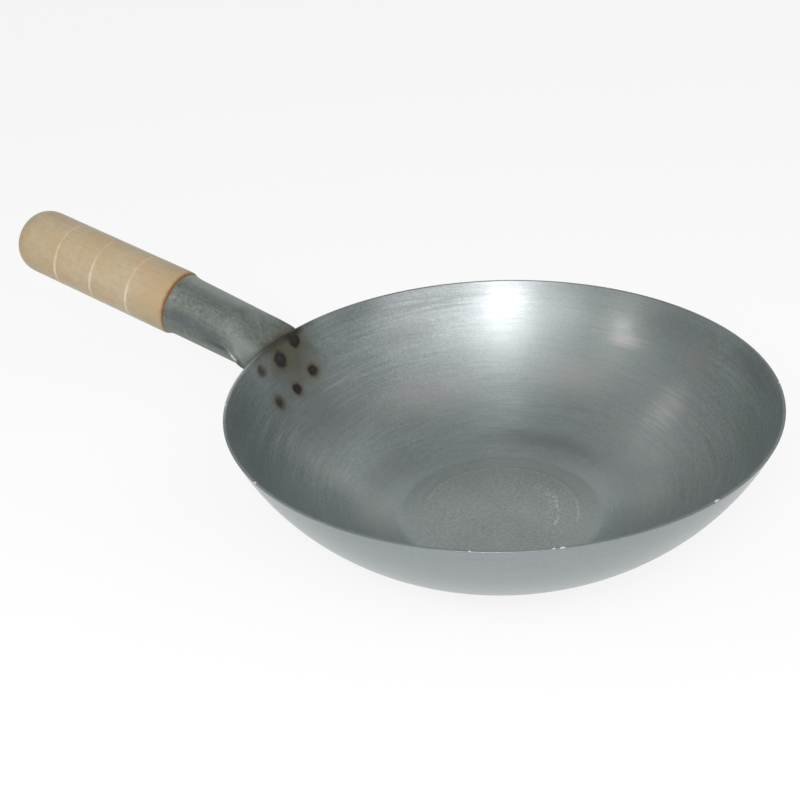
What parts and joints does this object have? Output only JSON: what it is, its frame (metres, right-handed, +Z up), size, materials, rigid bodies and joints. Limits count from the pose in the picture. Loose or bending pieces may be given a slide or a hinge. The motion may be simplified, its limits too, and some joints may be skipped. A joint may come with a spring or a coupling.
{
  "type": "wok",
  "caption": "Flat-bottomed steel wok: a spun bowl, a rolled sheet-steel handle socket spot-welded to its outside, and a turned wooden grip. For stir-frying on a hob.",
  "frame": {"origin": "centre of the underside of the flat base, on the surface that the wok stands on", "axes": "+Z up along the bowl's axis, the handle points along -X, +Y completes the frame"},
  "size_m": [0.4908, 0.305, 0.1481],
  "materials": {
    "spun_steel": "spun carbon steel with fine concentric tool marks, lightly oiled",
    "socket_steel": "rolled sheet steel, mottled mill finish, scorched near the welds",
    "grip_wood": "pale turned hardwood, sanded, without varnish",
    "nail_steel": "plain wire nail",
    "weld_steel": "burnt resistance spot weld"
  },
  "bodies": {
    "root": {"wok_bowl": "spun_steel", "handle_socket": "socket_steel", "wood_grip": "grip_wood", "grip_nail": "nail_steel", "weld_upper_far": "weld_steel", "weld_upper_middle": "weld_steel", "weld_upper_near": "weld_steel", "weld_lower_far": "weld_steel", "weld_lower_middle": "weld_steel", "weld_lower_near": "weld_steel"}
  },
  "joints": []
}
